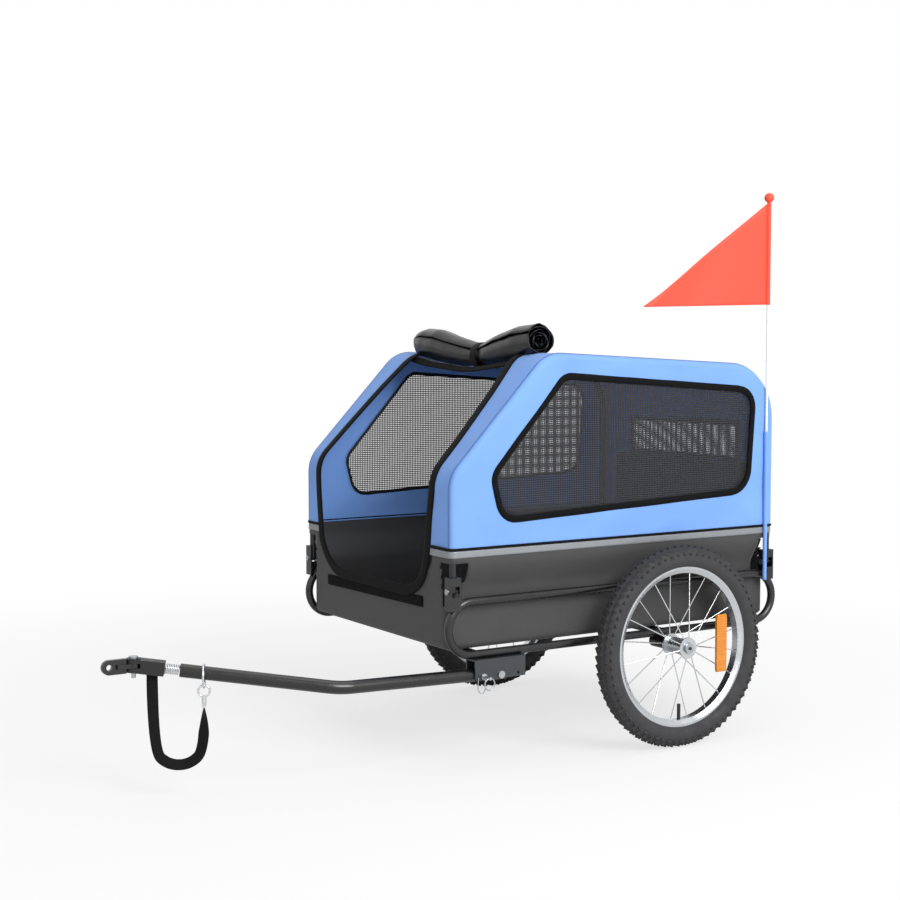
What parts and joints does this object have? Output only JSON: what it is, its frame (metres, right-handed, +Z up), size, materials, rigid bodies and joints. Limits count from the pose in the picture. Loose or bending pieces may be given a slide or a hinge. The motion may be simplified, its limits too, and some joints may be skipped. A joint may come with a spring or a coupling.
{
  "type": "dog bike trailer",
  "caption": "Folding two-wheeled bicycle trailer for a dog, with a cloth cabin on hinged side hoops, pull-out wheels, a folding tow arm and a sprung coupler.",
  "frame": {"origin": "on the ground, midway between the front and rear ends and between the left and right sides", "axes": "+X forwards to the bicycle, +Y to the left, +Z up"},
  "size_m": [1.4096, 0.7354, 1.1039],
  "materials": {
    "black_steel": "satin black powder coat",
    "gunmetal": "satin grey paint",
    "bright_steel": "zinc plated",
    "chrome": "polished plating",
    "alloy": "satin silver",
    "tyre": "matt rubber",
    "amber": "clear moulded prisms",
    "black_plastic": "fine matt",
    "blue_cloth": "woven coated polyester",
    "black_cloth": "woven coated polyester",
    "net": "open woven net",
    "coated_cloth": "glossy coated cloth",
    "webbing": "woven webbing",
    "white_pole": "glass fibre rod",
    "orange_ball": "smooth",
    "orange_cloth": "bright woven nylon"
  },
  "bodies": {
    "chassis": {"left_side_loop": "black_steel", "right_side_loop": "black_steel", "cross_tubes": "black_steel", "corner_brackets": "black_steel", "hinge_bolts": "bright_steel", "left_axle_receiver": "black_steel", "right_axle_receiver": "black_steel", "tow_bracket": "gunmetal", "tow_pivot_bolt": "bright_steel", "tub": "black_cloth", "floor_board": "black_plastic", "flag_sleeve": "black_cloth", "lanyard": "bright_steel", "left_side_panel": "blue_cloth", "right_side_panel": "blue_cloth", "left_window_mesh": "net", "right_window_mesh": "net", "front_panel": "blue_cloth", "roof_panel": "blue_cloth", "rear_panel": "blue_cloth", "rear_window_mesh": "net", "rolled_front_cover": "coated_cloth"},
    "left_hoop": {"left_arch": "black_steel"},
    "right_hoop": {"right_arch": "black_steel"},
    "left_axle_unit": {"left_axle": "bright_steel"},
    "left_wheel": {"left_tyre": "tyre", "left_rim": "alloy", "left_spokes": "chrome", "left_hub": "alloy", "left_hub_bearings": "bright_steel", "left_reflector": "amber", "left_valve": "bright_steel"},
    "left_button": {"left_release_button": "black_plastic"},
    "right_axle_unit": {"right_axle": "bright_steel"},
    "right_wheel": {"right_tyre": "tyre", "right_rim": "alloy", "right_spokes": "chrome", "right_hub": "alloy", "right_hub_bearings": "bright_steel", "right_reflector": "amber", "right_valve": "bright_steel"},
    "right_button": {"right_release_button": "black_plastic"},
    "arm_unit": {"tow_arm": "black_steel", "strap_ring": "chrome", "snap_hook": "chrome", "flex_spring": "chrome"},
    "coupler_unit": {"coupler_body": "black_plastic", "hitch_pin": "bright_steel", "safety_strap": "webbing"},
    "hitch_unit": {"axle_bracket": "gunmetal"},
    "lock_unit": {"lock_pin": "bright_steel"},
    "flag_unit": {"flag_pole": "white_pole", "flag_ball": "orange_ball"},
    "pennant_unit": {"pennant": "orange_cloth"}
  },
  "joints": [
    {"name": "left_side_fold", "type": "hinge", "parent": "chassis", "child": "left_hoop", "pos_m": [-0.3, 0.279, 0.342], "axis": [1, 0, 0], "range_deg": [0, 90], "deforming": ["left_side_panel", "right_side_panel", "left_window_mesh", "right_window_mesh", "front_panel", "roof_panel", "rear_panel", "rear_window_mesh", "rolled_front_cover"]},
    {"name": "right_side_fold", "type": "hinge", "parent": "chassis", "child": "right_hoop", "pos_m": [-0.3, -0.279, 0.342], "axis": [-1, 0, 0], "range_deg": [0, 72]},
    {"name": "left_axle_pull", "type": "slide", "parent": "chassis", "child": "left_axle_unit", "axis": [0, 1, 0], "range_m": [0, 0.12]},
    {"name": "left_wheel_spin", "type": "hinge", "parent": "left_axle_unit", "child": "left_wheel", "pos_m": [-0.4022, 0.3324, 0.2], "axis": [0, 1, 0], "continuous": true},
    {"name": "left_button_press", "type": "slide", "parent": "left_axle_unit", "child": "left_button", "axis": [0, -1, 0], "range_m": [0, 0.003], "stiffness_N_per_m": 300},
    {"name": "right_axle_pull", "type": "slide", "parent": "chassis", "child": "right_axle_unit", "axis": [0, -1, 0], "range_m": [0, 0.12]},
    {"name": "right_wheel_spin", "type": "hinge", "parent": "right_axle_unit", "child": "right_wheel", "pos_m": [-0.4022, -0.3324, 0.2], "axis": [0, 1, 0], "continuous": true},
    {"name": "right_button_press", "type": "slide", "parent": "right_axle_unit", "child": "right_button", "axis": [0, 1, 0], "range_m": [0, 0.003], "stiffness_N_per_m": 300},
    {"name": "tow_arm_fold", "type": "hinge", "parent": "chassis", "child": "arm_unit", "pos_m": [-0.0032, 0.279, 0.181], "axis": [0, 1, 0], "range_deg": [0, 180]},
    {"name": "lock_pin_pull", "type": "slide", "parent": "chassis", "child": "lock_unit", "axis": [0, 1, 0], "range_m": [0, 0.04], "deforming": ["lanyard"]},
    {"name": "coupler_flex", "type": "hinge", "parent": "arm_unit", "child": "coupler_unit", "pos_m": [0.5871, 0.1469, 0.2291], "axis": [0.4526, 0.8917, 0], "range_deg": [-25, 25], "stiffness_Nm_per_rad": 25, "deforming": ["flex_spring", "safety_strap"]},
    {"name": "hitch_turn", "type": "hinge", "parent": "coupler_unit", "child": "hitch_unit", "pos_m": [0.6468, 0.1166, 0.238], "axis": [0, 0, 1], "range_deg": [-45, 45]},
    {"name": "flag_lift", "type": "slide", "parent": "chassis", "child": "flag_unit", "axis": [0, 0, 1], "range_m": [0, 0.28]},
    {"name": "pennant_swing", "type": "hinge", "parent": "flag_unit", "child": "pennant_unit", "pos_m": [-0.6642, 0.2929, 1], "axis": [0, 0, 1], "range_deg": [-170, 170]}
  ],
  "couplings": [
    {"joint": "right_side_fold", "follows": "left_side_fold", "ratio": 0.8}
  ]
}
